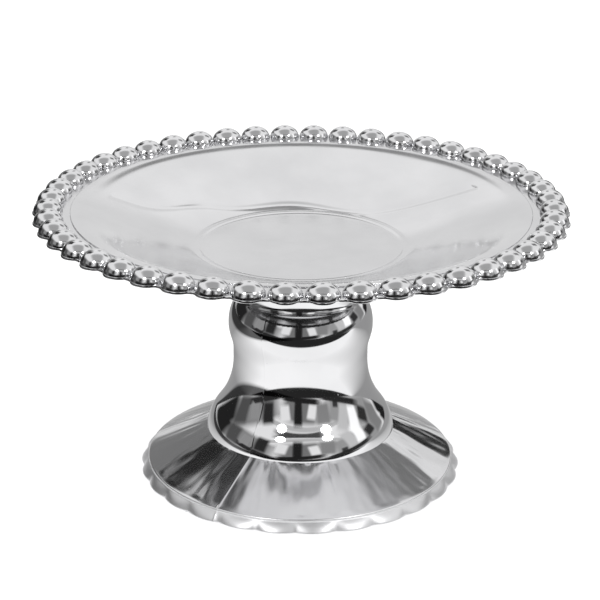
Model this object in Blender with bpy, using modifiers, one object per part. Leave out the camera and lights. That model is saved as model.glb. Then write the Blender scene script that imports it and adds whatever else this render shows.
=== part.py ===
"""Footed cake stand: a beaded dish plate that screws onto a hollow moulded pedestal.

Blender 4.5, metres, +Z up. The origin is on the table, under the middle of the foot.
"""
from math import atan2, cos, hypot, pi, radians, sin, sqrt, tan, tau

import bmesh
import bpy
from mathutils import Matrix

MM = 0.001

# Driving sizes of the plate
PLATE_DIAMETER = 254 * MM
BEAD_COUNT = 48
BEAD_RADIUS = 7.5 * MM
BEAD_HEIGHT = 6.2 * MM
BEAD_PHASE = radians(4.4)
PLATE_WALL = 2.6 * MM
DISH_EDGE_RADIUS = 109.0 * MM
DISH_SLOPE = radians(20)
SHOULDER_FILLET = 32 * MM
WELL_RADIUS = 45.0 * MM
WELL_FILLET = 28.78 * MM
FLANGE_THICKNESS = 1.2 * MM
SCALLOP_DEPTH = 3.2 * MM

# Driving sizes of the pedestal
RIM_HEIGHT = 134.7 * MM
FOOT_RADIUS = 79.0 * MM
FOOT_LOBES = 26
LOBE_DEPTH = 1.4 * MM
LOBE_PHASE = radians(-91.4)
CONE_EDGE_RADIUS = 74.8 * MM
BULGE_RADIUS = 46.2 * MM
BULGE_LEAN = radians(9)
NECK_FLARE = radians(38)
NECK_RADIUS = 32.8 * MM
COLLAR_RADIUS = 35.1 * MM
COLLAR_ROUNDING = 22.0 * MM
COLLAR_LEAN = radians(38)
WAIST_FILLET = 5.0 * MM
CROWN_RADIUS = 45.0 * MM
PEDESTAL_WALL = 2.9 * MM
CROWN_LIP = 1.6 * MM
SKIRT_STEP = 0.6 * MM
FOOT_RING_BORE = 69.0 * MM

# Levels of the pedestal's outside above the table
COLLAR_HEIGHT = 76.7 * MM
NECK_TOP_HEIGHT = 62.2 * MM
NECK_BASE_HEIGHT = 58.0 * MM
BULGE_HEIGHT = 22.8 * MM
CREASE_HEIGHT = 22.1 * MM
CONE_EDGE_HEIGHT = 7.3 * MM
SKIRT_BASE_HEIGHT = 2.0 * MM
SKIRT_BOW = 0.15 * MM

# The screwed joint between them
GAP = 0.4 * MM
THREAD_LEAD = 6.0 * MM
THREAD_HEIGHT = 1.2 * MM
THREAD_ROOT = 2.2 * MM
THREAD_CREST = 1.2 * MM
SPIGOT_RADIUS = 23.4 * MM
SPIGOT_LENGTH = 12.0 * MM
SPIGOT_WALL = 2.8 * MM
SPIGOT_THREAD_TURNS = 1.25
SOCKET_THREAD_TURNS = 1.25
WASHER_THICKNESS = 1.2 * MM
WASHER_OUTER = 35.0 * MM
WASHER_BORE = 25.8 * MM
RECESS_RADIUS = 36.2 * MM

# Pads under the foot
PAD_COUNT = 4
PAD_RADIUS = 3.5 * MM
PAD_BASE_RADIUS = 3.2 * MM
PAD_THICKNESS = 1.2 * MM
PAD_GAP = 0.3 * MM
PAD_CIRCLE = 73.3 * MM

# Facets
PLATE_STEPS = 64
BEAD_STEPS = 10
BEAD_RINGS = 3
STEPS_PER_LOBE = 3
THREAD_STEPS = 24
THREAD_RUN_OUT = 4
WASHER_STEPS = 48

# Worked out from the sizes above
BEAD_CIRCLE = PLATE_DIAMETER / 2 - BEAD_RADIUS
DISH_FALL = (DISH_EDGE_RADIUS - WELL_RADIUS) * tan(DISH_SLOPE)
FILLET_GAIN = (SHOULDER_FILLET + WELL_FILLET) * (1 / cos(DISH_SLOPE) - 1)
WELL_HEIGHT = RIM_HEIGHT - DISH_FALL + FILLET_GAIN
PLATE_SEAT = WELL_HEIGHT - PLATE_WALL
CROWN_HEIGHT = PLATE_SEAT - GAP
DECK_HEIGHT = PLATE_SEAT - WASHER_THICKNESS - 2 * PAD_GAP
FOOT_HEIGHT = PAD_THICKNESS + PAD_GAP
SOCKET_RADIUS = SPIGOT_RADIUS + THREAD_HEIGHT + GAP
WAIST_RADIUS = COLLAR_RADIUS - (COLLAR_ROUNDING + WAIST_FILLET) * (1 - cos(COLLAR_LEAN))
WAIST_HEIGHT = COLLAR_HEIGHT + (COLLAR_ROUNDING + WAIST_FILLET) * sin(COLLAR_LEAN)
SPIGOT_THREAD_START = PLATE_SEAT - SPIGOT_LENGTH + THREAD_ROOT
SOCKET_THREAD_START = SPIGOT_THREAD_START - THREAD_LEAD / 2
PEDESTAL_STEPS = FOOT_LOBES * STEPS_PER_LOBE


def clear_scene():
    for item in list(bpy.data.objects):
        bpy.data.objects.remove(item, do_unlink=True)


def new_collection(name):
    collection = bpy.data.collections.new(name)
    bpy.context.scene.collection.children.link(collection)
    return collection


def principled(name, colour, metallic, roughness):
    material = bpy.data.materials.new(name)
    material.use_nodes = True
    shader = material.node_tree.nodes["Principled BSDF"]
    shader.inputs["Base Color"].default_value = (*colour, 1.0)
    shader.inputs["Metallic"].default_value = metallic
    shader.inputs["Roughness"].default_value = roughness
    return material


def finish_mesh(item, material):
    item.data.materials.clear()
    item.data.materials.append(material)
    item.data.shade_smooth()
    item.data.set_sharp_from_angle(angle=radians(40))


def turned(name, outline, steps, collection, closed=False):
    """Turn an outline of (radius, height) points about the Z axis."""
    mesh = bpy.data.meshes.new(name)
    points = [(radius, 0.0, height) for radius, height in outline]
    edges = [(i, i + 1) for i in range(len(points) - 1)]
    if closed:
        edges.append((len(points) - 1, 0))
    mesh.from_pydata(points, edges, [])
    item = bpy.data.objects.new(name, mesh)
    collection.objects.link(item)
    screw = item.modifiers.new("Turn", "SCREW")
    screw.axis = "Z"
    screw.steps = steps
    screw.render_steps = steps
    screw.use_merge_vertices = True
    screw.merge_threshold = 0.000001
    return item


def bake(item):
    """Replace an object's modifiers by the mesh that they make."""
    graph = bpy.context.evaluated_depsgraph_get()
    mesh = bpy.data.meshes.new_from_object(item.evaluated_get(graph))
    item.modifiers.clear()
    item.data = mesh
    return item


def boolean(item, other, operation):
    modifier = item.modifiers.new(operation.title(), "BOOLEAN")
    modifier.object = other
    modifier.operation = operation
    modifier.solver = "EXACT"


def hide_cutter(item):
    item.hide_render = True
    item.display_type = "WIRE"


def smootherstep(t):
    return t * t * t * (10 + t * (6 * t - 15))


def ogee(start, end, points):
    """Points of an S-shaped stretch that is upright at both ends, without its first point."""
    (start_radius, start_height), (end_radius, end_height) = start, end
    path = []
    for i in range(1, points + 1):
        t = i / points
        radius = start_radius + (end_radius - start_radius) * smootherstep(t)
        path.append((radius, start_height + (end_height - start_height) * t))
    return path


def flare(start, end, points):
    """Points of two arcs: upright, leaning outwards, nearly upright again; without the first point."""
    out, fall = end[0] - start[0], start[1] - end[1]
    upper_out, upper_fall = 1 - cos(NECK_FLARE), sin(NECK_FLARE)
    lower_out, lower_fall = cos(BULGE_LEAN) - cos(NECK_FLARE), sin(NECK_FLARE) - sin(BULGE_LEAN)
    scale = upper_out * lower_fall - lower_out * upper_fall
    upper = (out * lower_fall - lower_out * fall) / scale
    lower = (upper_out * fall - upper_fall * out) / scale
    path = []
    for i in range(1, points + 1):
        lean = NECK_FLARE * i / points
        path.append((start[0] + upper * (1 - cos(lean)), start[1] - upper * sin(lean)))
    for i in range(1, points + 1):
        lean = NECK_FLARE + (BULGE_LEAN - NECK_FLARE) * i / points
        path.append((end[0] - lower * (cos(BULGE_LEAN) - cos(lean)),
                     end[1] + lower * (sin(lean) - sin(BULGE_LEAN))))
    return path


def quarter(start, end, points):
    """Points of a quarter ellipse that starts level and ends upright, without its first point."""
    path = []
    for i in range(1, points + 1):
        angle = pi / 2 * i / points
        radius = start[0] + (end[0] - start[0]) * sin(angle)
        path.append((radius, start[1] + (end[1] - start[1]) * (1 - cos(angle))))
    return path


def arc(centre, radius, start_angle, end_angle, segments):
    """Points of a round stretch; angles are measured from straight up, clockwise."""
    path = []
    for i in range(segments + 1):
        angle = start_angle + (end_angle - start_angle) * i / segments
        path.append((centre[0] + radius * sin(angle), centre[1] + radius * cos(angle)))
    return path


def dish_surface(depth):
    """The dish from the well outwards: a hollow fillet, a straight slope and a rounded shoulder."""
    well_centre = (WELL_RADIUS, WELL_HEIGHT + WELL_FILLET)
    shoulder_centre = (DISH_EDGE_RADIUS, RIM_HEIGHT - SHOULDER_FILLET)
    well = arc(well_centre, WELL_FILLET + depth, pi, pi - DISH_SLOPE, 2)
    shoulder = arc(shoulder_centre, SHOULDER_FILLET - depth, -DISH_SLOPE, 0, 3)
    return well + shoulder


def plate_outline():
    disc_radius = PLATE_DIAMETER / 2 - SCALLOP_DEPTH
    flange_base = RIM_HEIGHT - FLANGE_THICKNESS
    spigot_base = PLATE_SEAT - SPIGOT_LENGTH
    spigot_bore = SPIGOT_RADIUS - SPIGOT_WALL
    top = [(0, WELL_HEIGHT)] + dish_surface(0)
    rim = [(disc_radius, RIM_HEIGHT), (disc_radius, flange_base), (BEAD_CIRCLE - BEAD_RADIUS, flange_base)]
    underside = dish_surface(PLATE_WALL)[::-1]
    spigot = [(SPIGOT_RADIUS, PLATE_SEAT), (SPIGOT_RADIUS, spigot_base),
              (spigot_bore, spigot_base), (spigot_bore, PLATE_SEAT), (0, PLATE_SEAT)]
    return top + rim + underside + spigot


def bead_row(collection):
    """Domes side by side on the flange, each with the round lobe of the flange below it."""
    outline = [(0, RIM_HEIGHT + BEAD_HEIGHT)]
    outline += quarter(outline[0], (BEAD_RADIUS, RIM_HEIGHT), BEAD_RINGS)
    outline += [(BEAD_RADIUS, RIM_HEIGHT - FLANGE_THICKNESS), (0, RIM_HEIGHT - FLANGE_THICKNESS)]
    bead = bake(turned("bead", outline, BEAD_STEPS, collection))
    row = bmesh.new()
    for i in range(BEAD_COUNT):
        azimuth = BEAD_PHASE + tau * i / BEAD_COUNT
        place = Matrix.Rotation(azimuth, 4, "Z") @ Matrix.Translation((BEAD_CIRCLE, 0, 0))
        first = len(row.verts)
        row.from_mesh(bead.data)
        row.verts.ensure_lookup_table()
        bmesh.ops.transform(row, matrix=place, verts=row.verts[first:])
    row.to_mesh(bead.data)
    row.free()
    return bead


def thread_ridge(name, wall_radius, crest_radius, start_height, turns, collection):
    """A right-handed helical ridge on a wall, starting at +X and running out at both ends."""
    embed = (wall_radius - crest_radius) / 3
    steps = round(THREAD_STEPS * turns)
    ridge = bmesh.new()
    sections = []
    for i in range(steps + 1):
        azimuth = tau * i / THREAD_STEPS
        height = start_height + THREAD_LEAD * i / THREAD_STEPS
        fullness = min(1.0, (1 + min(i, steps - i)) / THREAD_RUN_OUT)
        crest = wall_radius + (crest_radius - wall_radius) * fullness
        corners = [(wall_radius + embed, -THREAD_ROOT / 2), (crest, -THREAD_CREST / 2),
                   (crest, THREAD_CREST / 2), (wall_radius + embed, THREAD_ROOT / 2)]
        sections.append([ridge.verts.new((radius * cos(azimuth), radius * sin(azimuth), height + rise))
                         for radius, rise in corners])
    for near, far in zip(sections, sections[1:]):
        for i in range(4):
            j = (i + 1) % 4
            ridge.faces.new((near[i], near[j], far[j], far[i]))
    ridge.faces.new(sections[0])
    ridge.faces.new(sections[-1])
    bmesh.ops.recalc_face_normals(ridge, faces=ridge.faces)
    mesh = bpy.data.meshes.new(name)
    ridge.to_mesh(mesh)
    ridge.free()
    item = bpy.data.objects.new(name, mesh)
    collection.objects.link(item)
    hide_cutter(item)
    return item


def make_plate(parts, cutters, material):
    plate = turned("dish_plate", plate_outline(), PLATE_STEPS, parts)
    beads = bead_row(cutters)
    hide_cutter(beads)
    thread = thread_ridge("spigot_thread", SPIGOT_RADIUS, SPIGOT_RADIUS + THREAD_HEIGHT,
                          SPIGOT_THREAD_START, SPIGOT_THREAD_TURNS, cutters)
    boolean(plate, beads, "UNION")
    boolean(plate, thread, "UNION")
    finish_mesh(bake(plate), material)


def waist_and_collar():
    """The waist's hollow fillet and the collar's rounding, without the first point."""
    fillet_centre = (WAIST_RADIUS + WAIST_FILLET, WAIST_HEIGHT)
    collar_centre = (COLLAR_RADIUS - COLLAR_ROUNDING, COLLAR_HEIGHT)
    fillet = arc(fillet_centre, WAIST_FILLET, -pi / 2, -pi / 2 - COLLAR_LEAN, 2)
    collar = arc(collar_centre, COLLAR_ROUNDING, pi / 2 - COLLAR_LEAN, pi / 2, 3)
    return fillet[1:] + collar[1:]


def pedestal_outline():
    top_edge = (CROWN_RADIUS, CROWN_HEIGHT - CROWN_LIP)
    collar = (COLLAR_RADIUS, COLLAR_HEIGHT)
    neck_top = (NECK_RADIUS, NECK_TOP_HEIGHT)
    neck_base = (NECK_RADIUS, NECK_BASE_HEIGHT)
    neck_flare = flare(neck_base, (BULGE_RADIUS, BULGE_HEIGHT), 3)
    cone_slope = (CREASE_HEIGHT - CONE_EDGE_HEIGHT) / (CONE_EDGE_RADIUS - BULGE_RADIUS)
    cone_drop = PEDESTAL_WALL * sqrt(1 + cone_slope * cone_slope)
    bulge_bore = BULGE_RADIUS - PEDESTAL_WALL
    neck_bore = NECK_RADIUS - PEDESTAL_WALL

    outside = [(CROWN_RADIUS, CROWN_HEIGHT), top_edge]
    outside += quarter(top_edge, (WAIST_RADIUS, WAIST_HEIGHT), 3)
    outside += waist_and_collar()
    outside += ogee(collar, neck_top, 3)
    outside += [neck_base]
    outside += neck_flare
    outside += [(BULGE_RADIUS, CREASE_HEIGHT), (CONE_EDGE_RADIUS, CONE_EDGE_HEIGHT)]
    skirt_top = (CONE_EDGE_RADIUS + SKIRT_STEP, CONE_EDGE_HEIGHT - SKIRT_STEP)
    skirt_base = (FOOT_RADIUS, SKIRT_BASE_HEIGHT)
    skirt_middle = [(top + base) / 2 + SKIRT_BOW for top, base in zip(skirt_top, skirt_base)]
    outside += [skirt_top, skirt_middle, skirt_base, (FOOT_RADIUS, FOOT_HEIGHT)]

    def cone_bore(radius):
        return radius, CREASE_HEIGHT - (radius - BULGE_RADIUS) * cone_slope - cone_drop

    inside = [(FOOT_RING_BORE, FOOT_HEIGHT), cone_bore(FOOT_RING_BORE), cone_bore(bulge_bore)]
    inside += [(radius - PEDESTAL_WALL, height) for radius, height in neck_flare[::-1]]
    inside += [(neck_bore, NECK_BASE_HEIGHT)]
    inside += [(neck_bore, COLLAR_HEIGHT), (SOCKET_RADIUS, WAIST_HEIGHT - WAIST_FILLET),
               (SOCKET_RADIUS, DECK_HEIGHT),
               (RECESS_RADIUS, DECK_HEIGHT), (RECESS_RADIUS, CROWN_HEIGHT)]
    return outside + inside


def scallop_foot(pedestal):
    """Pull the foot's edge in between its lobes, fading out towards the cone."""
    inner = CONE_EDGE_RADIUS + SKIRT_STEP
    for vertex in pedestal.data.vertices:
        x, y, _ = vertex.co
        radius = hypot(x, y)
        if radius <= inner:
            continue
        lobe = ((atan2(y, x) - LOBE_PHASE) / tau * FOOT_LOBES) % 1.0
        fade = (radius - inner) / (FOOT_RADIUS - inner)
        scale = 1 - LOBE_DEPTH * fade * (2 * lobe - 1) ** 2 / radius
        vertex.co.x *= scale
        vertex.co.y *= scale


def make_pedestal(parts, cutters, material):
    pedestal = turned("pedestal", pedestal_outline(), PEDESTAL_STEPS, parts, closed=True)
    bake(pedestal)
    pedestal.data.transform(Matrix.Rotation(LOBE_PHASE, 4, "Z"))
    scallop_foot(pedestal)
    thread = thread_ridge("socket_thread", SOCKET_RADIUS, SOCKET_RADIUS - THREAD_HEIGHT,
                          SOCKET_THREAD_START, SOCKET_THREAD_TURNS, cutters)
    boolean(pedestal, thread, "UNION")
    finish_mesh(bake(pedestal), material)


def make_washer(parts, material):
    base, top = DECK_HEIGHT + PAD_GAP, DECK_HEIGHT + PAD_GAP + WASHER_THICKNESS
    outline = [(WASHER_OUTER, top), (WASHER_OUTER, base), (WASHER_BORE, base), (WASHER_BORE, top)]
    washer = turned("sealing_washer", outline, WASHER_STEPS, parts, closed=True)
    finish_mesh(bake(washer), material)


def make_foot_pads(parts, material):
    for i in range(PAD_COUNT):
        azimuth = tau * (i + 0.5) / PAD_COUNT
        pad = bmesh.new()
        bmesh.ops.create_cone(pad, cap_ends=True, segments=20, radius1=PAD_BASE_RADIUS,
                              radius2=PAD_RADIUS, depth=PAD_THICKNESS)
        name = f"foot_pad_{i + 1}"
        mesh = bpy.data.meshes.new(name)
        pad.to_mesh(mesh)
        pad.free()
        item = bpy.data.objects.new(name, mesh)
        item.location = (PAD_CIRCLE * cos(azimuth), PAD_CIRCLE * sin(azimuth), PAD_THICKNESS / 2)
        parts.objects.link(item)
        finish_mesh(item, material)


clear_scene()
stand_parts = new_collection("cake_stand")
stand_cutters = new_collection("cutters")
mirror_plastic = principled("mirror_plastic", (0.86, 0.86, 0.87), 1.0, 0.06)
grey_rubber = principled("grey_rubber", (0.20, 0.20, 0.21), 0.0, 0.6)
clear_silicone = principled("clear_silicone", (0.75, 0.76, 0.77), 0.0, 0.35)
make_plate(stand_parts, stand_cutters, mirror_plastic)
make_pedestal(stand_parts, stand_cutters, mirror_plastic)
make_washer(stand_parts, grey_rubber)
make_foot_pads(stand_parts, clear_silicone)
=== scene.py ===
"""Mirror-silver cake stand in a pale studio.

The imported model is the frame: fine pieces stand for its nodes and ride on its bodies.
"""

from math import atan2, cos, exp, hypot, pi, radians, sin, sqrt, tan, tau

import bmesh
import bpy
from mathutils import Matrix, Quaternion, Vector, noise


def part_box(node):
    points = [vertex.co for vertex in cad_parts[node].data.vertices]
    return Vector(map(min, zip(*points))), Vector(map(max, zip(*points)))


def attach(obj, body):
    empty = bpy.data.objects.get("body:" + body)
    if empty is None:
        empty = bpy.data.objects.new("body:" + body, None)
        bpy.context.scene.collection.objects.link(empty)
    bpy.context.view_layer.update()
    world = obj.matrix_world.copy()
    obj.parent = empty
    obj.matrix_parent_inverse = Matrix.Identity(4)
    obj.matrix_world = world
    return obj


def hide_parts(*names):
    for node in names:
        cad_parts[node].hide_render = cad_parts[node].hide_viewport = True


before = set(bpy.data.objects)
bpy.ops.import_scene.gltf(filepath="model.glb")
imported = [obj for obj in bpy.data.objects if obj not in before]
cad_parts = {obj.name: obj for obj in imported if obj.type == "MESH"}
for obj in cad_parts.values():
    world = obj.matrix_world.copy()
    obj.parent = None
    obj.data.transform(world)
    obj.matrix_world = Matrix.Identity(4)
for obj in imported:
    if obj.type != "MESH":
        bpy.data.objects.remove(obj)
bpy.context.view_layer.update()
PLATE_LOW, PLATE_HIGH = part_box("dish_plate")
PEDESTAL_LOW, PEDESTAL_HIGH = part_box("pedestal")
WASHER_LOW, WASHER_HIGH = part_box("sealing_washer")

MM = 0.001
SHARP_ANGLE = radians(40)

# The plate
LOBE_RADIUS = 7.5 * MM
BEAD_HEIGHT = 6.2 * MM
RIM_HEIGHT = PLATE_HIGH.z - BEAD_HEIGHT
SPIGOT_BASE = PLATE_LOW.z
SPIGOT_LENGTH = 12.0 * MM
PLATE_SEAT = SPIGOT_BASE + SPIGOT_LENGTH
PLATE_WALL = 2.6 * MM
WELL_HEIGHT = PLATE_SEAT + PLATE_WALL
WELL_RADIUS = 45.0 * MM
WELL_FILLET = 28.78 * MM
DISH_SLOPE = radians(20)
DISH_EDGE_RADIUS = 109.0 * MM
SHOULDER_FILLET = 32.0 * MM
EDGE_STEP = 0.45 * MM
EDGE_STEP_START = 96.0 * MM
EDGE_ROUNDING = 0.3 * MM
FLOOR_SEGMENTS = 40
WELL_SEGMENTS = 10
SLOPE_SEGMENTS = 18
SHOULDER_SEGMENTS = 5
TOP_FINENESS = 4
UNDERSIDE_FINENESS = 1
SINK_RING_RADIUS = 23.0 * MM
SINK_RING_WIDTH = 1.6 * MM
SINK_RING_DEPTH = 0.03 * MM
WELL_RING_RADIUS = 49.5 * MM
WELL_RING_WIDTH = 1.2 * MM
WELL_RING_HEIGHT = 0.3 * MM
GATE_MARK_PLACE = (-4.0 * MM, 4.0 * MM)
GATE_MARK_RADIUS = 1.3 * MM
GATE_MARK_HEIGHT = 0.08 * MM

# A shallow wavy flow line across the dish, behind the well
FLOW_LINE_PLACE = 42 * MM
FLOW_LINE_RISE = 14 * MM
FLOW_LINE_RISE_MIDDLE = -4 * MM
FLOW_LINE_RISE_WIDTH = 30 * MM
FLOW_LINE_FALL = 18 * MM
FLOW_LINE_FALL_START = -40 * MM
FLOW_LINE_FALL_LENGTH = 45 * MM
FLOW_LINE_WIDTH = 2.2 * MM
FLOW_LINE_DEPTH = 0.55 * MM

# The beads and the scalloped flange under them
BEAD_COUNT = 48
BEAD_STEP = tau / BEAD_COUNT
BEAD_PHASE = radians(4.4)
BEAD_CIRCLE = 119.5 * MM
BEAD_HALF_DEPTH = 7.0 * MM
BEAD_HALF_WIDTH = 7.65 * MM
BEAD_COLUMNS = 24
BEAD_ROWS = 20
FLANGE_THICKNESS = 1.2 * MM
FLANGE_INNER_RADIUS = BEAD_CIRCLE - LOBE_RADIUS
CUSP_RADIUS = 123.8 * MM
CUSP_SOFTNESS = 0.8 * MM
EDGE_RADIUS = 0.3 * MM
DISH_COLUMNS = 7
FLANGE_COLUMNS = 16

# The pedestal's outside
CROWN_HEIGHT = PEDESTAL_HIGH.z
FOOT_HEIGHT = PEDESTAL_LOW.z
CROWN_RADIUS = 45.0 * MM
CROWN_LIP = 1.6 * MM
COLLAR_ROUNDING = 22.0 * MM
COLLAR_LEAN = radians(38)
WAIST_FILLET = 5.0 * MM
COLLAR = (35.1 * MM, 76.7 * MM)
WAIST = (COLLAR[0] - (COLLAR_ROUNDING + WAIST_FILLET) * (1 - cos(COLLAR_LEAN)),
         COLLAR[1] + (COLLAR_ROUNDING + WAIST_FILLET) * sin(COLLAR_LEAN))
NECK_TOP = (32.8 * MM, 62.2 * MM)
NECK_BASE = (32.8 * MM, 58.0 * MM)
NECK_FLARE = radians(38)
BULGE = (46.2 * MM, 22.4 * MM)
BULGE_LEAN = radians(10)
CREASE = (46.2 * MM, 22.1 * MM)
CONE_EDGE = (74.8 * MM, 7.3 * MM)
EDGE_BEAD = 1.1 * MM
EDGE_BEAD_END = radians(110)
FOOT_RADIUS = 79.0 * MM
SKIRT_STEP = 0.6 * MM
SKIRT_GROOVE = 0.1 * MM
SKIRT_BASE_HEIGHT = 2.0 * MM
SKIRT_BOW = 0.15 * MM
FOOT_LOBES = 26
LOBE_COLUMNS = 14
LOBE_DEPTH = 1.4 * MM
LOBE_PHASE = radians(-91.4)
EDGE_SEGMENTS = 4
FOOT_EDGE_SEGMENTS = 3
SHORT_SEGMENTS = 8
SKIRT_SEGMENTS = 12
SWEEP_SEGMENTS = 24
FLARE_SEGMENTS = 28
CONE_SEGMENTS = 30

# The pedestal's inside
WASHER_GAP = 0.3 * MM
PEDESTAL_WALL = 2.9 * MM
FOOT_RING_BORE = 69.0 * MM
DECK_HEIGHT = WASHER_LOW.z - WASHER_GAP
SOCKET_RADIUS = 25.0 * MM
SOCKET_WALL = 1.6 * MM
SOCKET_DEPTH = 12.5 * MM
RECESS_RADIUS = 36.2 * MM

# The mould's parting line down both sides of the pedestal
PARTING_AZIMUTHS = (radians(-121), radians(59))
PARTING_COLUMNS = (-1.0, -0.6, -0.35, -0.15, 0.15, 0.35, 0.6, 1.0)
PARTING_HEIGHT = 0.16 * MM
PARTING_FAINTNESS = 0.25
PARTING_WIDTH = 0.35 * MM
PARTING_BLOB = 0.35 * MM
PARTING_BLOB_RADIUS = 73.0 * MM
PARTING_BLOB_WIDTH = 0.8 * MM

# Faint moulding streaks that run down the cone
STREAK_HEIGHT = 0.22 * MM
STREAK_PITCH = radians(5)
STREAK_LENGTH = 18 * MM
FINE_STREAK_SCALE = 2.3
FINE_STREAK_SHARE = 1 / 3

# The tubes and the pads
TUBE_COLUMNS = 144
WASHER_BORE = 25.8 * MM
WASHER_ROUNDING = 0.25 * MM
PAD_COUNT = 4
PAD_COLUMNS = 48
PAD_TAPER = 0.3 * MM
PAD_ROUNDING = 0.35 * MM
PAD_EDGE_SEGMENTS = 6

# The screw threads
SPIGOT_RADIUS = 23.4 * MM
SPIGOT_WALL = 2.8 * MM
THREAD_LEAD = 6.0 * MM
THREAD_HEIGHT = 1.2 * MM
THREAD_ROOT = 2.2 * MM
THREAD_CREST = 1.2 * MM
THREAD_TURNS = 1.25
THREAD_STEPS = 72
THREAD_RUN_OUT = 12
SPIGOT_THREAD_START = SPIGOT_BASE + THREAD_ROOT
SOCKET_THREAD_START = SPIGOT_THREAD_START - THREAD_LEAD / 2

# The camera looks at a point inside the object, from the front and above
CAMERA_ELEVATION = radians(21.13)
CAMERA_DISTANCE = 894.5 * MM
CAMERA_AIM = Vector((-0.4 * MM, 0, RIM_HEIGHT - 47.6 * MM))
CAMERA_LENS = 110.8
CAMERA_ROLL = radians(0.35)
CAMERA_CLIP_START = 0.01

# The Mix node's colour sockets, by number because its other sockets have the same names
MIX_LOW, MIX_HIGH = 6, 7
MIX_RESULT = 2

# The mirror film: roughness from and to, where it turns duller and by how much, dust and noise
PLATE_ROUGHNESS = (0.11, 0.16)
PEDESTAL_ROUGHNESS = (0.04, 0.07)
PEDESTAL_DULLNESS = ((CREASE[0], 0.07), (CONE_EDGE[0], 0.26))
DULL_EDGE = 0.5 * MM
DUST_ROUGHNESS = 0.25
SPECK_CORE = 0.6
NOISE_RANGE = (0.3, 0.7)

# The soft light and the floor
WORLD_BRIGHTNESS = 1.0
FLOOR_SIZE = 8
FLOOR_LIGHT_POWER = 40
FLOOR_LIGHT_SIZE = 2.5
FLOOR_LIGHT_HEIGHT = 2.5

# What the gloss sees. Azimuth 0 is behind the object, 90 on its right and 180 on the camera's side
CARD_DISTANCE = 1.5
CARD_SPACING = 0.01
CARD_AIM_HEIGHT = 60 * MM
CARD_SOFTNESS = 0.4
CARD_TILT = radians(9)
CARD_TILT_STEP = 2.4
LIGHT_DISTANCE = 1.4
# The table as gloss sees it is a painted reflection: a glowing sheet with painted shade behind the
# object, dark past its front and left edges
SHEET_HEIGHT = 0.2 * MM
SHEET_FRONT = -0.212
SHEET_LEFT = -0.22
SHEET_EDGE = 0.02
SHEET_LEFT_EDGE = 0.08
PAST_SHEET_FRONT = 0.02
PAST_SHEET_LEFT = 0.12
SHEET_SHADE_BACK = 0.12
SHEET_SHADE_FRONT = -0.08
SHEET_DARKEST = 0.38
SHEET_BRIGHTEST = 1.2

# Name, azimuth, elevation, width, height (degrees) and brightness; nearer cards come first
CARDS = (
    ("photographer", -177, 18, 14, 44, 0.02),
    ("horizon_front", 180, 1.5, 70, 9, 0.02),
    ("horizon_left", -120, 1.5, 70, 9, 0.03),
    ("horizon_right", 118, 1.5, 75, 9, 0.03),
    ("stand_left", -131, 18, 19, 34, 0.03),
    ("shelf_left", -109, 15, 18, 26, 0.35),
    ("wall_left", -88, 13, 24, 34, 0.10),
    ("door_left", -58, 11, 44, 32, 0.02),
    ("shelf_back_left", -40, 40, 21, 28, 0.02),
    ("wall_back_left", -31, 18, 26, 40, 0.22),
    ("post_back_right", 24, 10, 15, 20, 0.02),
    ("box_right", 43, 3, 22, 14, 0.02),
    ("screen_back_right", 44, 42, 18, 26, 0.2),
    ("wall_right", 63, 11, 20, 24, 0.28),
    ("door_right", 81, 15, 17, 18, 0.04),
    ("window_right", 97, 22, 17, 36, 1.4),
    ("curtain_right", 113, 22, 18, 40, 0.7),
    ("stand_right", 125, 5, 10, 14, 0.05),
    ("window_front_left", -157, 19, 17, 26, 1.0),
    ("window_front_right", 162, 17, 15, 24, 1.0),
    ("wall_back_right", 145, 19, 24, 34, 0.3),
    # A dark card that paints the plate's shaded underside into the bulge's reflection
    ("painted_underside_shade", 180, 48.5, 64, 7, 0.08),
    ("ceiling_edge", 180, 40, 110, 8, 0.6),
    ("boom", 0, 38, 9, 18, 0.3),
    ("ceiling", 180, 76, 72, 70, 0.46),
    ("room_left", -105, 14, 95, 42, 0.3),
    ("room_right", 100, 14, 90, 40, 0.4),
    ("room_front", 180, 14, 64, 46, 0.22),
    ("backdrop", 0, 14, 96, 32, 0.84),
)

# Name, azimuth, elevation and radius (degrees), and brightness
LIGHTS = (
    ("lamp_left", -152, 38, 5.5, 15),
    ("lamp_right", 140, 38, 5.5, 15),
)


class Skin:
    """The points and faces of one closed surface, put together ring by ring."""

    def __init__(self):
        self.points = []
        self.faces = []

    def point(self, radius, azimuth, height):
        self.points.append(Vector((radius * cos(azimuth), radius * sin(azimuth), height)))
        return len(self.points) - 1

    def ring(self, azimuths, radius, height):
        if radius == 0:
            return [self.point(0, 0, height)]
        return [self.point(radius, azimuth, height) for azimuth in azimuths]

    def band(self, near, far):
        """Join two closed rings of equal length, or a ring and a single point."""
        count = max(len(near), len(far))
        for i in range(count):
            j = (i + 1) % count
            if len(near) == 1:
                self.faces.append((near[0], far[j], far[i]))
            elif len(far) == 1:
                self.faces.append((near[i], near[j], far[0]))
            else:
                self.faces.append((near[i], near[j], far[j], far[i]))

    def turn(self, outline, azimuths, start=None):
        """Turn an outline of (radius, height) points about Z, from a ring that is there already."""
        first = last = start
        for radius, height in outline:
            ring = self.ring(azimuths, radius, height)
            if last:
                self.band(last, ring)
            first = first or ring
            last = ring
        return first, last

    def make(self, name, reshape=None):
        points = [reshape(p) for p in self.points] if reshape else self.points
        mesh = bpy.data.meshes.new(name)
        mesh.from_pydata(points, [], self.faces)
        surface = bmesh.new()
        surface.from_mesh(mesh)
        bmesh.ops.recalc_face_normals(surface, faces=surface.faces)
        surface.to_mesh(mesh)
        surface.free()
        item = bpy.data.objects.new(name, mesh)
        bpy.context.scene.collection.objects.link(item)
        return item


def dress(item, material, body, slot, *nodes):
    """Shade a piece, and let it stand for its CAD nodes on their body."""
    item.data.materials.clear()
    item.data.materials.append(material)
    item.data.shade_smooth()
    item.data.set_sharp_from_angle(angle=SHARP_ANGLE)
    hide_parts(*nodes)
    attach(item, body)


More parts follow.
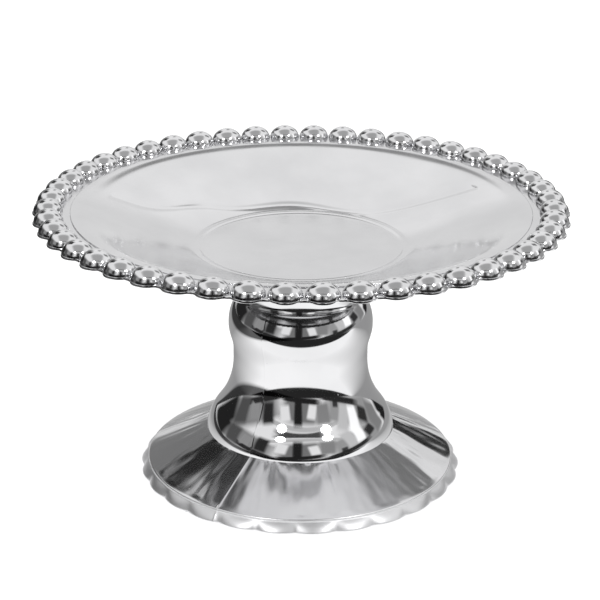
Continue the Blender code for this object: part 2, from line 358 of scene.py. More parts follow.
def even_azimuths(count, phase=0.0):
    return [phase + tau * i / count for i in range(count)]


def smootherstep(t):
    t = min(1.0, max(0.0, t))
    return t * t * t * (10 + t * (6 * t - 15))


def soft_max(a, b, softness):
    """The larger of two lengths, rounded off where they cross."""
    blend = max(softness - abs(a - b), 0) / softness
    return max(a, b) + blend * blend * softness / 4


def ogee(start, end, segments):
    """An S-shaped stretch that is upright at both ends, without its first point."""
    path = []
    for i in range(1, segments + 1):
        t = i / segments
        radius = start[0] + (end[0] - start[0]) * smootherstep(t)
        path.append((radius, start[1] + (end[1] - start[1]) * t))
    return path


def flare(start, end, segments):
    """Two arcs: upright, leaning outwards, nearly upright again; without the first point."""
    out, fall = end[0] - start[0], start[1] - end[1]
    upper_out, upper_fall = 1 - cos(NECK_FLARE), sin(NECK_FLARE)
    lower_out, lower_fall = cos(BULGE_LEAN) - cos(NECK_FLARE), sin(NECK_FLARE) - sin(BULGE_LEAN)
    scale = upper_out * lower_fall - lower_out * upper_fall
    upper = (out * lower_fall - lower_out * fall) / scale
    lower = (upper_out * fall - upper_fall * out) / scale
    path = []
    for i in range(1, segments + 1):
        lean = NECK_FLARE * i / segments
        path.append((start[0] + upper * (1 - cos(lean)), start[1] - upper * sin(lean)))
    for i in range(1, segments + 1):
        lean = NECK_FLARE + (BULGE_LEAN - NECK_FLARE) * i / segments
        path.append((end[0] - lower * (cos(BULGE_LEAN) - cos(lean)),
                     end[1] + lower * (sin(lean) - sin(BULGE_LEAN))))
    return path


def bowed(start, end, bow, segments):
    """A stretch that bows outwards and upwards a little, without its first point."""
    path = []
    for i in range(1, segments + 1):
        t = i / segments
        swell = bow * 4 * t * (1 - t)
        path.append((start[0] + (end[0] - start[0]) * t + swell,
                     start[1] + (end[1] - start[1]) * t + swell))
    return path


def quarter(start, end, segments):
    """A quarter ellipse that starts level and ends upright, without its first point."""
    path = []
    for i in range(1, segments + 1):
        angle = pi / 2 * i / segments
        radius = start[0] + (end[0] - start[0]) * sin(angle)
        path.append((radius, start[1] + (end[1] - start[1]) * (1 - cos(angle))))
    return path


def arc(centre, radius, start_angle, end_angle, segments):
    """A round stretch; angles are measured from straight up, towards larger radii."""
    path = []
    for i in range(segments + 1):
        angle = start_angle + (end_angle - start_angle) * i / segments
        path.append((centre[0] + radius * sin(angle), centre[1] + radius * cos(angle)))
    return path


def straight(start, end, segments):
    """Evenly spaced points of a straight stretch, without its first point."""
    return [(start[0] + (end[0] - start[0]) * i / segments,
             start[1] + (end[1] - start[1]) * i / segments) for i in range(1, segments + 1)]


def dish_surface(depth, fineness):
    """The dish from the well outwards: a hollow fillet, a straight slope and a rounded shoulder.

    depth is measured down through the wall; a higher fineness gives more segments.
    """
    well_centre = (WELL_RADIUS, WELL_HEIGHT + WELL_FILLET)
    shoulder_centre = (DISH_EDGE_RADIUS, RIM_HEIGHT - SHOULDER_FILLET)
    well = arc(well_centre, WELL_FILLET + depth, pi, pi - DISH_SLOPE, WELL_SEGMENTS * fineness)
    shoulder = arc(shoulder_centre, SHOULDER_FILLET - depth, -DISH_SLOPE, 0, SHOULDER_SEGMENTS * fineness)
    return well + straight(well[-1], shoulder[0], SLOPE_SEGMENTS * fineness)[:-1] + shoulder


def raise_edge(point):
    """Lift the dish's edge a little above the ledge that the beads stand on."""
    radius, height = point
    rise = smootherstep((radius - EDGE_STEP_START) / (DISH_EDGE_RADIUS - EDGE_STEP_START))
    return radius, height + EDGE_STEP * rise


def dish_relief(point):
    """The ring round the well, the sink ring over the spigot, the gate's mark and the flow line."""
    radius = hypot(point.x, point.y)
    if point.z < PLATE_SEAT + PLATE_WALL / 2 or radius > EDGE_STEP_START:
        return point
    rise = WELL_RING_HEIGHT * exp(-((radius - WELL_RING_RADIUS) / WELL_RING_WIDTH) ** 2)
    rise -= SINK_RING_DEPTH * exp(-((radius - SINK_RING_RADIUS) / SINK_RING_WIDTH) ** 2)
    rise -= FLOW_LINE_DEPTH * exp(-(flow_line_distance(point) / FLOW_LINE_WIDTH) ** 2)
    gate = hypot(point.x - GATE_MARK_PLACE[0], point.y - GATE_MARK_PLACE[1]) / GATE_MARK_RADIUS
    return point + Vector((0, 0, rise + GATE_MARK_HEIGHT * exp(-gate * gate)))


def flow_line_distance(point):
    """How far behind or in front of the flow line a point of the dish is."""
    bend = exp(-((point.x - FLOW_LINE_RISE_MIDDLE) / FLOW_LINE_RISE_WIDTH) ** 2)
    fall = smootherstep((FLOW_LINE_FALL_START - point.x) / FLOW_LINE_FALL_LENGTH)
    return point.y - FLOW_LINE_PLACE - FLOW_LINE_RISE * bend + FLOW_LINE_FALL * fall


def flange_radius(offset):
    """How far out the flange reaches at an azimuth offset from the middle of a bead."""
    across = BEAD_CIRCLE * sin(offset)
    lobe = BEAD_CIRCLE * cos(offset) + sqrt(max(0, LOBE_RADIUS ** 2 - across ** 2))
    return soft_max(lobe, CUSP_RADIUS, CUSP_SOFTNESS)


def flange_ring(skin, inset, height):
    ring = []
    for i in range(BEAD_COUNT * FLANGE_COLUMNS):
        offset = (i % FLANGE_COLUMNS / FLANGE_COLUMNS - 0.5) * BEAD_STEP
        azimuth = BEAD_PHASE + BEAD_STEP * (i // FLANGE_COLUMNS) + offset
        ring.append(skin.point(flange_radius(offset) - inset, azimuth, height))
    return ring


def bead_dome(skin, azimuth):
    """One dome. Returns its base points on the inner side and on the outer side, each in order."""
    def dome_point(out, along, rise):
        radius = BEAD_CIRCLE + out
        return skin.point(hypot(radius, along), azimuth + atan2(along, radius), RIM_HEIGHT + rise)

    first = dome_point(0, -BEAD_HALF_WIDTH, 0)
    inner, outer, last_column = [first], [first], [first] * (BEAD_ROWS + 1)
    for i in range(1, BEAD_COLUMNS):
        turn = pi * i / BEAD_COLUMNS
        along, reach = -BEAD_HALF_WIDTH * cos(turn), sin(turn)
        column = []
        for j in range(BEAD_ROWS + 1):
            tilt = pi * j / BEAD_ROWS
            column.append(dome_point(-BEAD_HALF_DEPTH * reach * cos(tilt), along,
                                     BEAD_HEIGHT * reach * sin(tilt)))
        join_columns(skin, last_column, column)
        inner.append(column[0])
        outer.append(column[-1])
        last_column = column
    last = dome_point(0, BEAD_HALF_WIDTH, 0)
    join_columns(skin, last_column, [last] * (BEAD_ROWS + 1))
    return inner + [last], outer + [last]


def join_columns(skin, near, far):
    for j in range(BEAD_ROWS):
        corners = [near[j], near[j + 1], far[j + 1], far[j]]
        skin.faces.append(tuple(dict.fromkeys(corners)))


def stretch(ring, index, columns):
    """The points of a closed ring that belong to one bead, both ends included."""
    return [ring[(index * columns + i) % len(ring)] for i in range(columns + 1)]


def bead_belt(skin, ledge_ring):
    """Domes on a flat ledge, and the flange's scalloped edge. Returns the edge's lowest ring."""
    between = skin.ring(even_azimuths(BEAD_COUNT, BEAD_PHASE - BEAD_STEP / 2), BEAD_CIRCLE, RIM_HEIGHT)
    edge = flange_ring(skin, EDGE_RADIUS, RIM_HEIGHT)
    for i in range(BEAD_COUNT):
        inner, outer = bead_dome(skin, BEAD_PHASE + BEAD_STEP * i)
        before, after = between[i], between[(i + 1) % BEAD_COUNT]
        skin.faces.append((*stretch(ledge_ring, i, DISH_COLUMNS), after, *reversed(inner), before))
        skin.faces.append((*stretch(edge, i, FLANGE_COLUMNS), after, *reversed(outer), before))
    corner = EDGE_RADIUS * (1 - sqrt(0.5))
    base = RIM_HEIGHT - FLANGE_THICKNESS
    for inset, height in ((corner, RIM_HEIGHT - corner), (0, RIM_HEIGHT - EDGE_RADIUS),
                          (0, base + EDGE_RADIUS), (corner, base + corner), (EDGE_RADIUS, base)):
        ring = flange_ring(skin, inset, height)
        skin.band(edge, ring)
        edge = ring
    return edge


def make_dish(material):
    skin = Skin()
    azimuths = even_azimuths(BEAD_COUNT * DISH_COLUMNS, BEAD_PHASE - BEAD_STEP / 2)
    top = [raise_edge(point) for point in dish_surface(0, TOP_FINENESS)]
    lip_top = top[-1][1]
    lip_radius = DISH_EDGE_RADIUS + EDGE_ROUNDING
    floor = straight((0, WELL_HEIGHT), top[0], FLOOR_SEGMENTS)
    lip = quarter(top[-1], (lip_radius, lip_top - EDGE_ROUNDING), EDGE_SEGMENTS)
    lip.append((lip_radius, RIM_HEIGHT))
    _, ledge_ring = skin.turn([(0, WELL_HEIGHT)] + floor[:-1] + top + lip, azimuths)
    edge = bead_belt(skin, ledge_ring)
    inner_ring = skin.ring(azimuths, FLANGE_INNER_RADIUS, RIM_HEIGHT - FLANGE_THICKNESS)
    for i in range(BEAD_COUNT):
        skin.faces.append((*stretch(edge, i, FLANGE_COLUMNS),
                           *reversed(stretch(inner_ring, i, DISH_COLUMNS))))
    underside = dish_surface(PLATE_WALL, UNDERSIDE_FINENESS)[::-1] + [(0, PLATE_SEAT)]
    skin.turn(underside, azimuths, start=inner_ring)
    dish = skin.make("dish", dish_relief)
    dress(dish, material, "plate", "mirror_plastic", "dish_plate")


def thread_ridge(name, wall_radius, crest_radius, start_height):
    """A right-handed helical ridge on a wall, starting at +X and running out at both ends."""
    embed = (wall_radius - crest_radius) / 3
    steps = round(THREAD_STEPS * THREAD_TURNS)
    skin = Skin()
    sections = []
    for i in range(steps + 1):
        azimuth = tau * i / THREAD_STEPS
        height = start_height + THREAD_LEAD * i / THREAD_STEPS
        fullness = min(1.0, (1 + min(i, steps - i)) / THREAD_RUN_OUT)
        crest = wall_radius + (crest_radius - wall_radius) * fullness
        corners = ((wall_radius + embed, -THREAD_ROOT / 2), (crest, -THREAD_CREST / 2),
                   (crest, THREAD_CREST / 2), (wall_radius + embed, THREAD_ROOT / 2))
        sections.append([skin.point(radius, azimuth, height + rise) for radius, rise in corners])
    for near, far in zip(sections, sections[1:]):
        skin.band(near, far)
    skin.faces += [tuple(sections[0]), tuple(sections[-1])]
    return skin.make(name)


def join_thread(tube, ridge):
    """Unite a tube with the ridge on its wall, and keep only the result."""
    union = tube.modifiers.new("Thread", "BOOLEAN")
    union.object = ridge
    union.operation = "UNION"
    union.solver = "EXACT"
    graph = bpy.context.evaluated_depsgraph_get()
    mesh = bpy.data.meshes.new_from_object(tube.evaluated_get(graph))
    tube.modifiers.clear()
    tube.data = mesh
    bpy.data.objects.remove(ridge)


def rounded_tube(name, inner_radius, outer_radius, base, top, rounding):
    """A tube standing on its end, with its four edges rounded."""
    middle = [(inner_radius + rounding, top), (outer_radius - rounding, top)]
    outline = middle + quarter(middle[1], (outer_radius, top - rounding), EDGE_SEGMENTS)
    low = quarter((outer_radius - rounding, base), (outer_radius, base + rounding), EDGE_SEGMENTS)
    outline += low[::-1] + [(outer_radius - rounding, base), (inner_radius + rounding, base)]
    outline += quarter((inner_radius + rounding, base), (inner_radius, base + rounding), EDGE_SEGMENTS)
    high = quarter((inner_radius + rounding, top), (inner_radius, top - rounding), EDGE_SEGMENTS)
    outline += high[::-1]
    skin = Skin()
    first, last = skin.turn(outline, even_azimuths(TUBE_COLUMNS))
    skin.band(last, first)
    return skin.make(name)


def make_spigot(material):
    spigot = rounded_tube("plate_spigot", SPIGOT_RADIUS - SPIGOT_WALL, SPIGOT_RADIUS,
                          SPIGOT_BASE, PLATE_SEAT, EDGE_RADIUS)
    ridge = thread_ridge("spigot_thread", SPIGOT_RADIUS, SPIGOT_RADIUS + THREAD_HEIGHT,
                         SPIGOT_THREAD_START)
    join_thread(spigot, ridge)
    dress(spigot, material, "plate", "mirror_plastic", "dish_plate")


def cone_bore(radius):
    """A point on the inside of the cone."""
    slope = (CREASE[1] - CONE_EDGE[1]) / (CONE_EDGE[0] - BULGE[0])
    drop = PEDESTAL_WALL * sqrt(1 + slope * slope)
    return radius, CREASE[1] - (radius - BULGE[0]) * slope - drop


def waist_and_collar():
    """The waist's hollow fillet and the collar's rounding, without the first point."""
    fillet_centre = (WAIST[0] + WAIST_FILLET, WAIST[1])
    collar_centre = (COLLAR[0] - COLLAR_ROUNDING, COLLAR[1])
    fillet = arc(fillet_centre, WAIST_FILLET, -pi / 2, -pi / 2 - COLLAR_LEAN, SHORT_SEGMENTS)
    collar = arc(collar_centre, COLLAR_ROUNDING, pi / 2 - COLLAR_LEAN, pi / 2, SWEEP_SEGMENTS)
    return fillet[1:] + collar[1:]


def pedestal_outside():
    """The shell's outside, from the crown down to the foot ring."""
    crown_edge = (CROWN_RADIUS, CROWN_HEIGHT - CROWN_LIP)
    outline = [(CROWN_RADIUS - EDGE_RADIUS, CROWN_HEIGHT)]
    outline += quarter(outline[0], (CROWN_RADIUS, CROWN_HEIGHT - EDGE_RADIUS), EDGE_SEGMENTS)
    outline.append(crown_edge)
    outline += quarter(crown_edge, WAIST, SWEEP_SEGMENTS)
    outline += waist_and_collar() + ogee(COLLAR, NECK_TOP, SWEEP_SEGMENTS)
    outline += straight(NECK_TOP, NECK_BASE, SHORT_SEGMENTS)
    outline += flare(NECK_BASE, BULGE, FLARE_SEGMENTS) + [CREASE]
    slope = atan2(CREASE[1] - CONE_EDGE[1], CONE_EDGE[0] - CREASE[0])
    bead_centre = (CONE_EDGE[0] - EDGE_BEAD * sin(slope), CONE_EDGE[1] - EDGE_BEAD * cos(slope))
    edge_bead = arc(bead_centre, EDGE_BEAD, slope, EDGE_BEAD_END, SHORT_SEGMENTS)
    outline += straight(CREASE, edge_bead[0], CONE_SEGMENTS) + edge_bead[1:]
    skirt_top = (CONE_EDGE[0] + SKIRT_STEP, edge_bead[-1][1] - SKIRT_GROOVE)
    outline.append(skirt_top)
    outline += bowed(skirt_top, (FOOT_RADIUS, SKIRT_BASE_HEIGHT), SKIRT_BOW, SKIRT_SEGMENTS)
    foot_edge = (FOOT_RADIUS, FOOT_HEIGHT + EDGE_RADIUS)
    outline.append(foot_edge)
    foot_rounding = quarter((FOOT_RADIUS - EDGE_RADIUS, FOOT_HEIGHT), foot_edge, FOOT_EDGE_SEGMENTS)
    return outline + foot_rounding[::-1][1:]


def pedestal_inside():
    """The shell's inside, from the foot ring up to the recess, with room for the socket's sleeve."""
    flare_bore = [(radius - PEDESTAL_WALL, height)
                  for radius, height in flare(NECK_BASE, BULGE, FLARE_SEGMENTS // 2)]
    neck_bore = NECK_BASE[0] - PEDESTAL_WALL
    deck_base = DECK_HEIGHT - PEDESTAL_WALL
    socket_base = DECK_HEIGHT - SOCKET_DEPTH
    outline = [(FOOT_RADIUS - EDGE_RADIUS, FOOT_HEIGHT), (FOOT_RING_BORE, FOOT_HEIGHT)]
    outline += [cone_bore(FOOT_RING_BORE), cone_bore(BULGE[0] - PEDESTAL_WALL)]
    outline += flare_bore[::-1] + [(neck_bore, NECK_BASE[1])]
    outline += [(neck_bore, COLLAR[1]), (SOCKET_RADIUS, WAIST[1] - WAIST_FILLET)]
    outline += [(SOCKET_RADIUS, socket_base), (SOCKET_RADIUS + SOCKET_WALL, socket_base)]
    outline += [(SOCKET_RADIUS + SOCKET_WALL, deck_base), (SOCKET_RADIUS, deck_base)]
    outline += [(SOCKET_RADIUS, DECK_HEIGHT), (RECESS_RADIUS, DECK_HEIGHT)]
    return outline + [(RECESS_RADIUS, CROWN_HEIGHT)]


def pedestal_azimuths():
    """Even columns, with more of them at the two parting lines."""
    azimuths = even_azimuths(FOOT_LOBES * LOBE_COLUMNS, LOBE_PHASE)
    for parting in PARTING_AZIMUTHS:
        azimuths += [parting + radians(step) for step in PARTING_COLUMNS]
    return sorted(set((azimuth + pi) % tau - pi for azimuth in azimuths))


def pedestal_relief(point):
    """The foot's lobes, the raised parting lines and the cone's streaks, all on the outside."""
    radius, azimuth = hypot(point.x, point.y), atan2(point.y, point.x)
    if radius < NECK_BASE[0] - PEDESTAL_WALL / 2 or point.z < FOOT_HEIGHT + EDGE_RADIUS / 2:
        shift = 0
    else:
        shift = sum(parting_rise(radius, azimuth - parting) for parting in PARTING_AZIMUTHS)
    inner = CONE_EDGE[0] + SKIRT_STEP
    if radius > inner:
        lobe = ((azimuth - LOBE_PHASE) / tau * FOOT_LOBES) % 1.0
        shift -= LOBE_DEPTH * (radius - inner) / (FOOT_RADIUS - inner) * (2 * lobe - 1) ** 2
    scale = 1 + shift / radius if radius else 1
    return Vector((point.x * scale, point.y * scale, point.z + streak_rise(radius, azimuth, point.z)))


def streak_rise(radius, azimuth, height):
    """How far the cone's outside rises or falls along its streaks."""
    streaks_end = CONE_EDGE[0] - EDGE_BEAD
    on_cone = CREASE[0] < radius < streaks_end
    if not on_cone or height < cone_bore(radius)[1] + PEDESTAL_WALL / 2:
        return 0
    place = Vector((cos(azimuth) / STREAK_PITCH, sin(azimuth) / STREAK_PITCH, radius / STREAK_LENGTH))
    streaks = noise.noise(place) + noise.noise(place * FINE_STREAK_SCALE) * FINE_STREAK_SHARE
    fade_in = smootherstep((radius - CREASE[0]) / EDGE_BEAD)
    fade_out = smootherstep((streaks_end - radius) / EDGE_BEAD)
    return STREAK_HEIGHT * streaks * fade_in * fade_out


def parting_rise(radius, turn):
    """How far a parting line stands out of the wall at an azimuth from its middle."""
    across = radius * ((turn + pi) % tau - pi)
    strength = PARTING_FAINTNESS + (1 - PARTING_FAINTNESS) * smootherstep((radius - BULGE[0]) / EDGE_BEAD)
    rise = PARTING_HEIGHT * strength * exp(-(across / PARTING_WIDTH) ** 2)
    blob = hypot(across, radius - PARTING_BLOB_RADIUS) / PARTING_BLOB_WIDTH
    return rise + PARTING_BLOB * exp(-blob * blob)


def make_pedestal(material):
    skin = Skin()
    first, last = skin.turn(pedestal_outside() + pedestal_inside(), pedestal_azimuths())
    skin.band(last, first)
    pedestal = skin.make("pedestal_shell", pedestal_relief)
    dress(pedestal, material, "pedestal", "mirror_plastic", "pedestal")


def make_socket(material):
    """The threaded sleeve in the crown's bore."""
    deck_base = DECK_HEIGHT - PEDESTAL_WALL
    socket = rounded_tube("pedestal_socket", SOCKET_RADIUS, SOCKET_RADIUS + SOCKET_WALL,
                          DECK_HEIGHT - SOCKET_DEPTH, deck_base, EDGE_RADIUS)
    ridge = thread_ridge("socket_thread", SOCKET_RADIUS, SOCKET_RADIUS - THREAD_HEIGHT,
                         SOCKET_THREAD_START)
    join_thread(socket, ridge)
    dress(socket, material, "pedestal", "mirror_plastic", "pedestal")


def make_washer(material):
    washer = rounded_tube("washer", WASHER_BORE, WASHER_HIGH.x,
                          WASHER_LOW.z, WASHER_HIGH.z, WASHER_ROUNDING)
    dress(washer, material, "washer", "grey_rubber", "sealing_washer")


def make_foot_pad(index, material):
    """A soft round pad, a little wider at its top and rounded at its base."""
    node = f"foot_pad_{index}"
    low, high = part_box(node)
    middle = (low + high) / 2
    top_radius = (high.x - low.x) / 2
    base_radius = top_radius - PAD_TAPER
    base_edge = (base_radius - PAD_ROUNDING, low.z)
    top_edge = (top_radius - PAD_ROUNDING, high.z)
    outline = [(0, low.z), base_edge]
    outline += quarter(base_edge, (base_radius, low.z + PAD_ROUNDING), PAD_EDGE_SEGMENTS)
    outline += quarter(top_edge, (top_radius, high.z - PAD_ROUNDING), PAD_EDGE_SEGMENTS)[::-1]
    outline += [top_edge, (0, high.z)]
    skin = Skin()
    skin.turn(outline, even_azimuths(PAD_COLUMNS))
    pad = skin.make(f"pad_{index}", lambda point: point + Vector((middle.x, middle.y, 0)))
    dress(pad, material, "pedestal", "clear_silicone", node)


class Shader:
    """A node material, built from the Principled shader backwards."""

    def __init__(self, name, colour, metallic, roughness):
        self.material = bpy.data.materials.new(name)
        self.material.use_nodes = True
        self.nodes = self.material.node_tree.nodes
        self.links = self.material.node_tree.links
        self.principled = self.nodes["Principled BSDF"]
        self.principled.inputs["Base Color"].default_value = (*colour, 1)
        self.principled.inputs["Metallic"].default_value = metallic
        self.principled.inputs["Roughness"].default_value = roughness
        self.place = self.nodes.new("ShaderNodeTexCoord").outputs["Object"]

    def noise(self, scale, detail):
        texture = self.nodes.new("ShaderNodeTexNoise")
        texture.inputs["Scale"].default_value = scale
        texture.inputs["Detail"].default_value = detail
        self.links.new(self.place, texture.inputs["Vector"])
        return texture.outputs["Fac"]

    def radius(self):
        """The distance from the object's upright axis."""
        flat = self.nodes.new("ShaderNodeVectorMath")
        flat.operation = "MULTIPLY"
        flat.inputs[1].default_value = (1, 1, 0)
        self.links.new(self.place, flat.inputs[0])
        length = self.nodes.new("ShaderNodeVectorMath")
        length.operation = "LENGTH"
        self.links.new(flat.outputs["Vector"], length.inputs[0])
        return length.outputs["Value"]

    def specks(self, scale, radius):
        """One where a sparse speck is, zero elsewhere."""
        texture = self.nodes.new("ShaderNodeTexVoronoi")
        texture.inputs["Scale"].default_value = scale
        self.links.new(self.place, texture.inputs["Vector"])
        return self.span(texture.outputs["Distance"], radius, radius * SPECK_CORE, 0, 1)

    def span(self, value, from_low, from_high, low, high):
        node = self.nodes.new("ShaderNodeMapRange")
        node.inputs["From Min"].default_value = from_low
        node.inputs["From Max"].default_value = from_high
        node.inputs["To Min"].default_value = low
        node.inputs["To Max"].default_value = high
        self.links.new(value, node.inputs["Value"])
        return node.outputs["Result"]

    def calculate(self, operation, first, second=None):
        node = self.nodes.new("ShaderNodeMath")
        node.operation = operation
        self.links.new(first, node.inputs[0])
        if second is not None:
            self.links.new(second, node.inputs[1])
        return node.outputs["Value"]

    def colour_between(self, value, low, high):
        node = self.nodes.new("ShaderNodeMix")
        node.data_type = "RGBA"
        node.inputs[MIX_LOW].default_value = (*low, 1)
        node.inputs[MIX_HIGH].default_value = (*high, 1)
        self.links.new(value, node.inputs[0])
        self.links.new(node.outputs[MIX_RESULT], self.principled.inputs["Base Color"])

    def roughness(self, value):
        self.links.new(value, self.principled.inputs["Roughness"])

    def bump(self, value, strength, distance):
        node = self.nodes.new("ShaderNodeBump")
        node.inputs["Strength"].default_value = strength
        node.inputs["Distance"].default_value = distance
        self.links.new(value, node.inputs["Height"])
        self.links.new(node.outputs["Normal"], self.principled.inputs["Normal"])


def mirror_plastic(name, smooth, rough, dull):
    """Metallised plastic: an uneven film, dust specks under it, and orange peel.

    dull lists where the film turns duller: the radius it starts at, and the roughness it adds.
    """
    shader = Shader(name, (0.8, 0.8, 0.81), metallic=1.0, roughness=smooth)
    film = shader.span(shader.noise(scale=35, detail=3), *NOISE_RANGE, 0, 1)
    shader.colour_between(film, (0.69, 0.69, 0.70), (0.76, 0.76, 0.77))
    haze = shader.span(shader.noise(scale=60, detail=5), *NOISE_RANGE, smooth, rough)
    dust = shader.span(shader.specks(scale=70, radius=0.03), 0, 1, 0, DUST_ROUGHNESS)
    total = shader.calculate("ADD", haze, dust)
    for radius, extra in dull:
        duller = shader.span(shader.radius(), radius, radius + DULL_EDGE, 0, extra)
        total = shader.calculate("ADD", total, duller)
    shader.roughness(total)
    shader.bump(shader.noise(scale=140, detail=2), strength=0.3, distance=0.02 * MM)
    return shader.material


def rubber():
    shader = Shader("grey_rubber", (0.05, 0.05, 0.052), metallic=0.0, roughness=0.65)
    bloom = shader.noise(scale=220, detail=6)
    bloom_share = shader.span(bloom, *NOISE_RANGE, 0, 1)
    shader.colour_between(bloom_share, (0.04, 0.04, 0.042), (0.075, 0.075, 0.078))
    shader.roughness(shader.span(bloom, *NOISE_RANGE, 0.55, 0.75))
    shader.bump(shader.noise(scale=1800, detail=4), strength=0.3, distance=0.05 * MM)
    return shader.material


def silicone():
    shader = Shader("clear_silicone", (0.72, 0.73, 0.74), metallic=0.0, roughness=0.35)
    shader.principled.inputs["Subsurface Weight"].default_value = 0.4
    shader.principled.inputs["Subsurface Radius"].default_value = (2 * MM, 2 * MM, 2 * MM)
    cloud = shader.noise(scale=400, detail=4)
    cloud_share = shader.span(cloud, *NOISE_RANGE, 0, 1)
    shader.colour_between(cloud_share, (0.66, 0.67, 0.68), (0.78, 0.79, 0.80))
    shader.roughness(shader.span(cloud, *NOISE_RANGE, 0.3, 0.45))
    shader.bump(shader.noise(scale=2500, detail=3), strength=0.2, distance=0.03 * MM)
    return shader.material


def make_world(brightness):
    world = bpy.data.worlds.new("studio")
    world.use_nodes = True
    world.node_tree.nodes["Background"].inputs["Color"].default_value = (1, 1, 1, 1)
    world.node_tree.nodes["Background"].inputs["Strength"].default_value = brightness
    bpy.context.scene.world = world


def make_floor():
    bpy.ops.mesh.primitive_plane_add(size=FLOOR_SIZE)
    floor = bpy.context.active_object
    floor.name = "floor"
    shader = Shader("pale_floor", (0.9, 0.9, 0.9), metallic=0.0, roughness=0.9)
    shader.colour_between(shader.noise(scale=8, detail=3), (0.88, 0.88, 0.88), (0.92, 0.92, 0.92))
    floor.data.materials.append(shader.material)
    floor.visible_glossy = False


def make_floor_light():
    """A wide soft lamp overhead that gloss doesn't see, to whiten the floor."""
    lamp = bpy.data.lights.new("floor_light", "AREA")
    lamp.shape = "DISK"
    lamp.size = FLOOR_LIGHT_SIZE
    lamp.energy = FLOOR_LIGHT_POWER
    lamp.use_shadow = False
    item = bpy.data.objects.new("floor_light", lamp)
    bpy.context.scene.collection.objects.link(item)
    item.location = (0, 0, FLOOR_LIGHT_HEIGHT)
    item.visible_glossy = False
    item.visible_camera = False


def reflect_only(item):
    """The camera and the soft light don't see a card; only gloss does."""
    item.visible_camera = False
    item.visible_diffuse = False
    item.visible_shadow = False


class CardShader(Shader):
    """A glow for the cards."""

    def __init__(self, name, brightness):
        super().__init__(name, (0, 0, 0), metallic=0.0, roughness=1.0)
        self.material.cycles.emission_sampling = "NONE"
        self.glow = self.nodes.new("ShaderNodeEmission")
        self.glow.inputs["Strength"].default_value = brightness
        axes = self.nodes.new("ShaderNodeSeparateXYZ")
        self.links.new(self.place, axes.inputs["Vector"])
        self.x, self.y = axes.outputs["X"], axes.outputs["Y"]

    def fade_edges(self, softness):
        """Let the card fade out towards its edges, over a share of its half width and half height."""
        fades = [self.span(self.calculate("ABSOLUTE", axis), 1, 1 - softness, 0, 1)
                 for axis in (self.x, self.y)]
        see_through = self.nodes.new("ShaderNodeBsdfTransparent")
        mix = self.nodes.new("ShaderNodeMixShader")
        self.links.new(self.calculate("MULTIPLY", *fades), mix.inputs["Fac"])
        self.links.new(see_through.outputs["BSDF"], mix.inputs[1])
        self.links.new(self.glow.outputs["Emission"], mix.inputs[2])
        self.links.new(mix.outputs["Shader"], self.nodes["Material Output"].inputs["Surface"])


def aimed_at_object(azimuth, elevation, distance):
    """A place round the object, azimuth 0 behind it and 90 on its right, and the turn to face it."""
    a, e = radians(azimuth), radians(elevation)
    out = Vector((sin(a) * cos(e), cos(a) * cos(e), sin(e)))
    return Vector((0, 0, CARD_AIM_HEIGHT)) + out * distance, out.to_track_quat("Z", "Y")


def make_card(name, azimuth, elevation, width, height, brightness, order):
    """A soft-edged card, turned a little; its middle and size are in degrees, seen from the object."""
    bpy.ops.mesh.primitive_plane_add(size=2)
    card = bpy.context.active_object
    card.name = name
    distance = CARD_DISTANCE + order * CARD_SPACING
    card.location, turn = aimed_at_object(azimuth, elevation, distance)
    card.rotation_mode = "QUATERNION"
    card.rotation_quaternion = turn @ Quaternion((0, 0, 1), CARD_TILT * sin(CARD_TILT_STEP * order))
    card.scale = (distance * tan(radians(width / 2)), distance * tan(radians(height / 2)), 1)
    shader = CardShader(name, brightness)
    shader.fade_edges(CARD_SOFTNESS)
    card.data.materials.append(shader.material)
    reflect_only(card)


def make_light(name, azimuth, elevation, radius, brightness):
    """A round lamp that only gloss sees; its radius is an angle in degrees."""
    lamp = bpy.data.lights.new(name, "AREA")
    lamp.shape = "DISK"
    lamp.size = 2 * LIGHT_DISTANCE * tan(radians(radius))
    lamp.energy = brightness * pi * pi * (lamp.size / 2) ** 2
    item = bpy.data.objects.new(name, lamp)
    bpy.context.scene.collection.objects.link(item)
    item.location, turn = aimed_at_object(azimuth, elevation, LIGHT_DISTANCE)
    item.rotation_mode = "QUATERNION"
    item.rotation_quaternion = turn
    item.visible_diffuse = False
    item.visible_camera = False


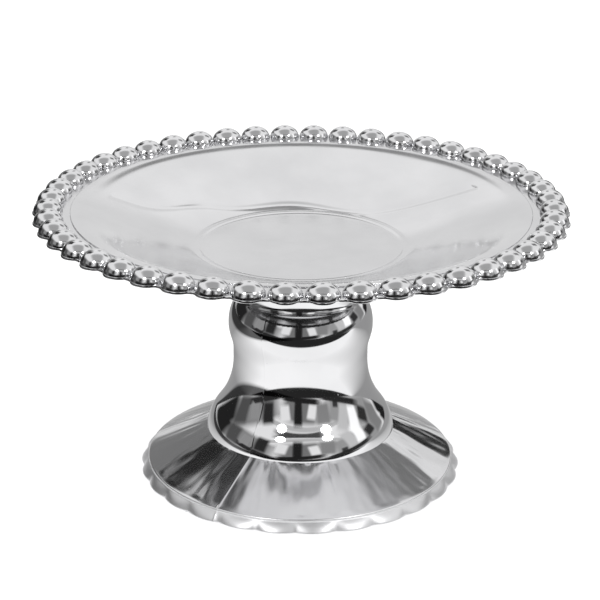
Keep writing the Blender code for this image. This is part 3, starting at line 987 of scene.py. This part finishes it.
def make_painted_table_reflection():
    """What gloss sees of the table, painted: a glowing white sheet, with painted shade that greys it
    behind the object, and dark room past it.
    """
    bpy.ops.mesh.primitive_plane_add(size=FLOOR_SIZE, location=(0, 0, SHEET_HEIGHT))
    card = bpy.context.active_object
    card.name = "painted_table_reflection"
    shader = CardShader("painted_table_reflection", brightness=1.0)
    # Painted shade: the sheet glows dimmer behind the object than in front of it
    sheet = shader.span(shader.y, SHEET_SHADE_BACK, SHEET_SHADE_FRONT, SHEET_DARKEST, SHEET_BRIGHTEST)
    front = shader.span(shader.y, SHEET_FRONT - SHEET_EDGE, SHEET_FRONT, PAST_SHEET_FRONT, 1)
    left = shader.span(shader.x, SHEET_LEFT - SHEET_LEFT_EDGE, SHEET_LEFT, PAST_SHEET_LEFT, 1)
    glow = shader.calculate("MULTIPLY", shader.calculate("MULTIPLY", sheet, front), left)
    shader.links.new(glow, shader.glow.inputs["Strength"])
    shader.links.new(shader.glow.outputs["Emission"], shader.nodes["Material Output"].inputs["Surface"])
    card.data.materials.append(shader.material)
    reflect_only(card)


def make_camera():
    camera = bpy.data.cameras.new("camera")
    camera.lens = CAMERA_LENS
    camera.clip_start = CAMERA_CLIP_START
    item = bpy.data.objects.new("camera", camera)
    bpy.context.scene.collection.objects.link(item)
    back = Vector((0, -cos(CAMERA_ELEVATION), sin(CAMERA_ELEVATION)))
    item.location = CAMERA_AIM + back * CAMERA_DISTANCE
    aim = (-back).to_track_quat("-Z", "Y")
    item.rotation_euler = (aim.to_matrix() @ Matrix.Rotation(CAMERA_ROLL, 3, "Z")).to_euler()
    bpy.context.scene.camera = item


plate_metal = mirror_plastic("plate_mirror", *PLATE_ROUGHNESS, dull=())
pedestal_metal = mirror_plastic("pedestal_mirror", *PEDESTAL_ROUGHNESS, dull=PEDESTAL_DULLNESS)
washer_rubber = rubber()
pad_silicone = silicone()
make_dish(plate_metal)
make_spigot(plate_metal)
make_pedestal(pedestal_metal)
make_socket(pedestal_metal)
make_washer(washer_rubber)
for pad_index in range(1, PAD_COUNT + 1):
    make_foot_pad(pad_index, pad_silicone)
make_world(WORLD_BRIGHTNESS)
make_floor()
make_floor_light()
make_painted_table_reflection()
for card_order, card_facts in enumerate(CARDS):
    make_card(*card_facts, card_order)
for light_facts in LIGHTS:
    make_light(*light_facts)
make_camera()
bpy.context.scene.view_settings.view_transform = "Standard"
